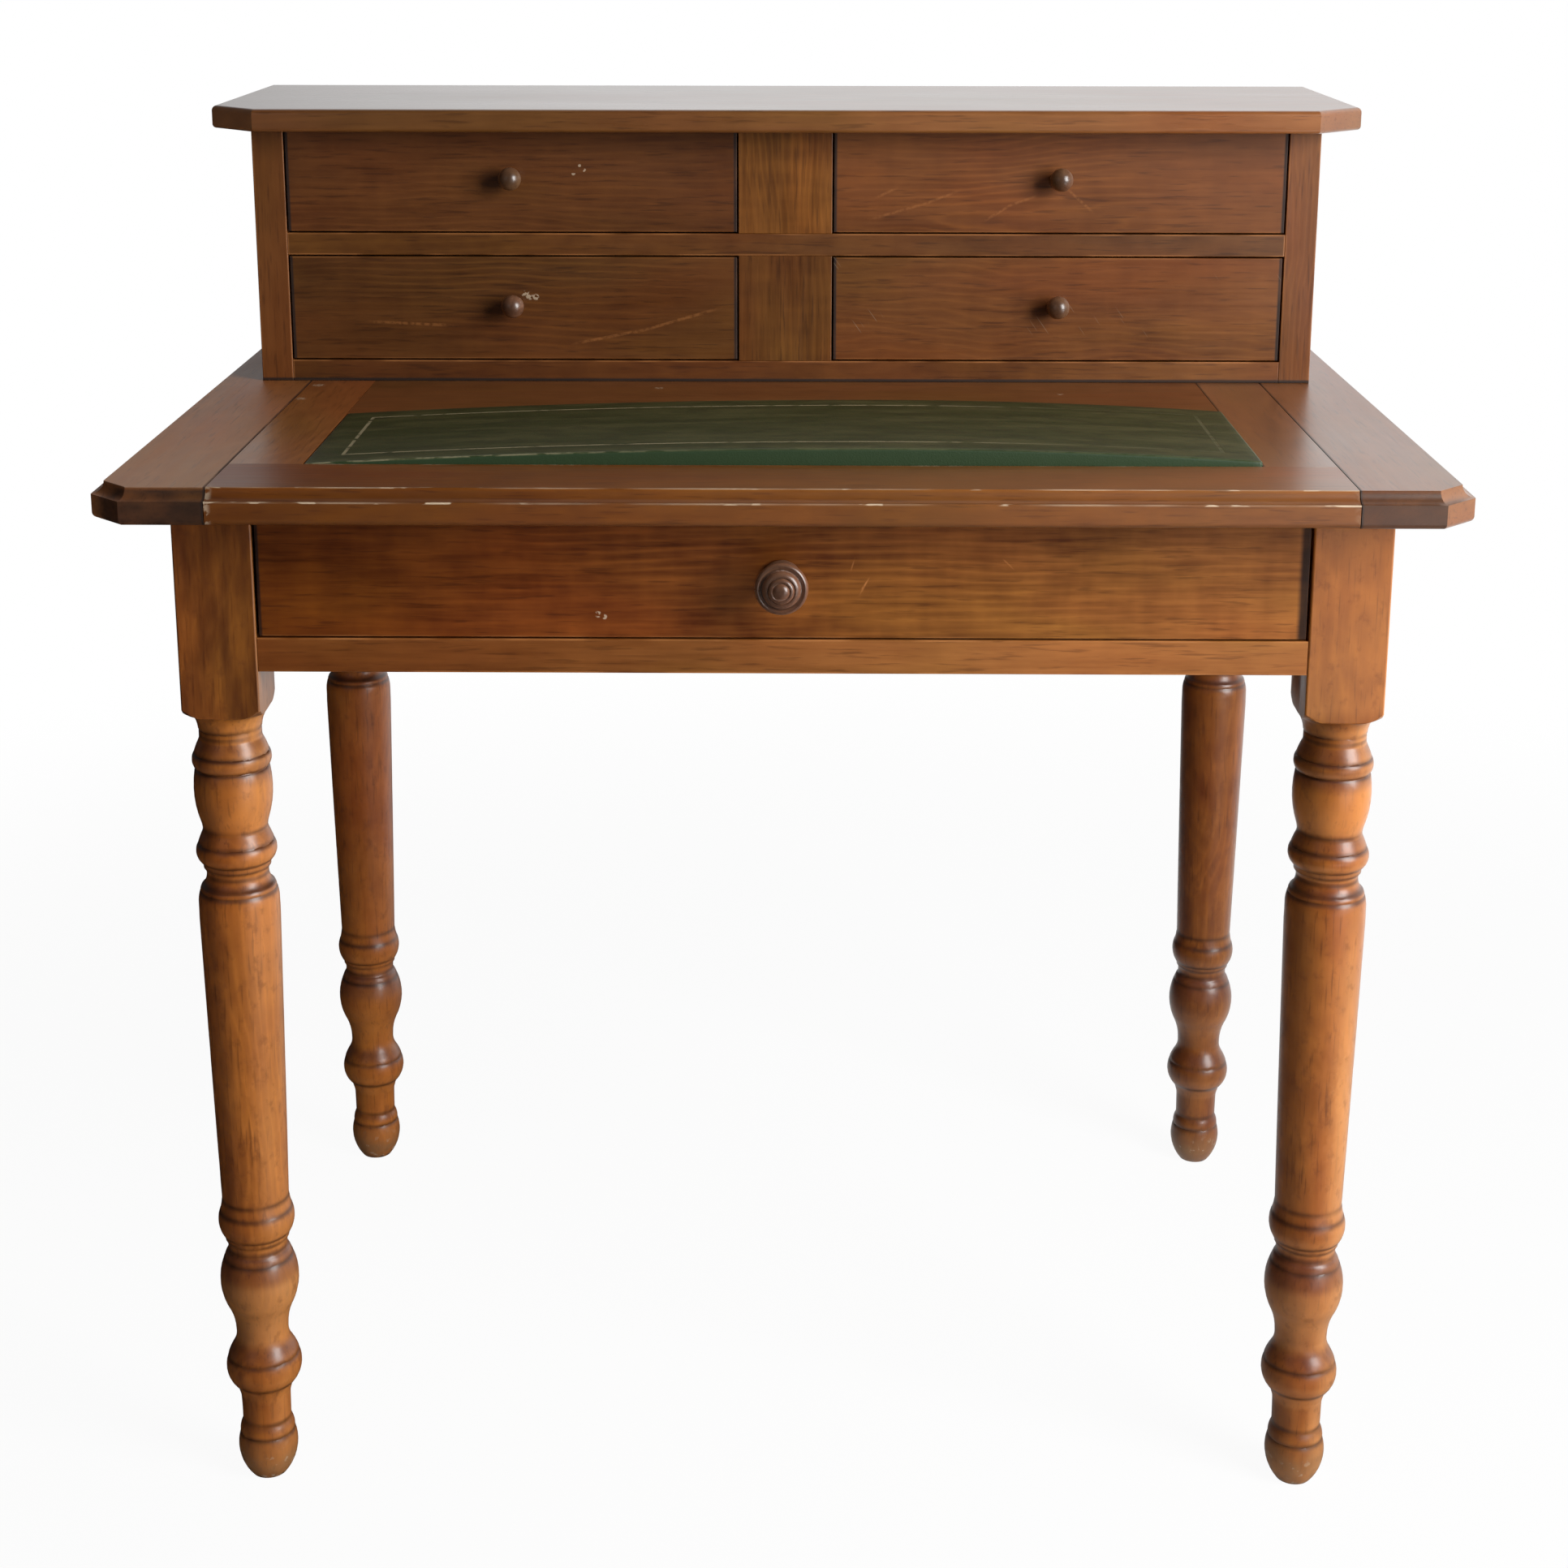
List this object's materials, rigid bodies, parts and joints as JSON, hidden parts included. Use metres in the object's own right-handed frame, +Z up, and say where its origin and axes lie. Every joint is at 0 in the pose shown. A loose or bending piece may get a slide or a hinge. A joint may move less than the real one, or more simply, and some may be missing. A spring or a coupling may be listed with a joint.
{
  "type": "bonheur du jour writing desk",
  "caption": "Small wooden writing desk on turned legs, with a pull-out leather-topped slide, a frieze drawer and a low case of small drawers on top.",
  "frame": {"origin": "on the floor under the middle of the bounding box", "axes": "+Z up, +Y to the back, +X to the right seen from the front"},
  "size_m": [0.894, 0.615, 0.967],
  "materials": {
    "frame_wood": "waxed, satin",
    "leg_wood": "waxed, satin",
    "top_wood": "polished, worn",
    "case_wood": "polished, satin",
    "inner_wood": "bare, matt",
    "knob_wood": "polished, dark",
    "leather": "aged, tooled in gold"
  },
  "bodies": {
    "desk": {"leg_front_left": "leg_wood", "leg_front_right": "leg_wood", "leg_rear_left": "leg_wood", "leg_rear_right": "leg_wood", "apron_left": "frame_wood", "apron_right": "frame_wood", "apron_back": "frame_wood", "front_rail": "frame_wood", "upper_rail": "inner_wood", "bearer_left": "inner_wood", "bearer_right": "inner_wood", "runner_left": "inner_wood", "runner_right": "inner_wood", "drawer_stops": "inner_wood", "wing_left": "top_wood", "wing_right": "top_wood", "top_rear_strip": "top_wood", "case_side_left": "case_wood", "case_side_right": "case_wood", "case_bottom": "case_wood", "case_shelf": "case_wood", "case_back": "inner_wood", "case_top": "top_wood", "centre_panel_lower": "case_wood", "centre_panel_upper": "case_wood", "dividers_lower": "inner_wood", "dividers_upper": "inner_wood"},
    "writing_slide": {"slide_front_rail": "top_wood", "slide_end_left": "top_wood", "slide_end_right": "top_wood", "slide_panel": "top_wood", "leather_pad": "leather", "slide_stop": "inner_wood"},
    "frieze_drawer": {"frieze_front": "case_wood", "frieze_side_left": "inner_wood", "frieze_side_right": "inner_wood", "frieze_back": "inner_wood", "frieze_bottom": "inner_wood", "frieze_knob": "knob_wood"},
    "drawer_upper_left": {"drawer_upper_left_front": "case_wood", "drawer_upper_left_sides": "inner_wood", "drawer_upper_left_back": "inner_wood", "drawer_upper_left_bottom": "inner_wood", "drawer_upper_left_knob": "knob_wood"},
    "drawer_upper_right": {"drawer_upper_right_front": "case_wood", "drawer_upper_right_sides": "inner_wood", "drawer_upper_right_back": "inner_wood", "drawer_upper_right_bottom": "inner_wood", "drawer_upper_right_knob": "knob_wood"},
    "drawer_lower_left": {"drawer_lower_left_front": "case_wood", "drawer_lower_left_sides": "inner_wood", "drawer_lower_left_back": "inner_wood", "drawer_lower_left_bottom": "inner_wood", "drawer_lower_left_knob": "knob_wood"},
    "drawer_lower_right": {"drawer_lower_right_front": "case_wood", "drawer_lower_right_sides": "inner_wood", "drawer_lower_right_back": "inner_wood", "drawer_lower_right_bottom": "inner_wood", "drawer_lower_right_knob": "knob_wood"}
  },
  "joints": [
    {"name": "writing_slide_pull", "type": "slide", "parent": "desk", "child": "writing_slide", "axis": [0, -1, 0], "range_m": [0, 0.155]},
    {"name": "frieze_drawer_pull", "type": "slide", "parent": "desk", "child": "frieze_drawer", "axis": [0, -1, 0], "range_m": [0, 0.3]},
    {"name": "drawer_upper_left_pull", "type": "slide", "parent": "desk", "child": "drawer_upper_left", "axis": [0, -1, 0], "range_m": [0, 0.13]},
    {"name": "drawer_upper_right_pull", "type": "slide", "parent": "desk", "child": "drawer_upper_right", "axis": [0, -1, 0], "range_m": [0, 0.13]},
    {"name": "drawer_lower_left_pull", "type": "slide", "parent": "desk", "child": "drawer_lower_left", "axis": [0, -1, 0], "range_m": [0, 0.13]},
    {"name": "drawer_lower_right_pull", "type": "slide", "parent": "desk", "child": "drawer_lower_right", "axis": [0, -1, 0], "range_m": [0, 0.13]}
  ]
}
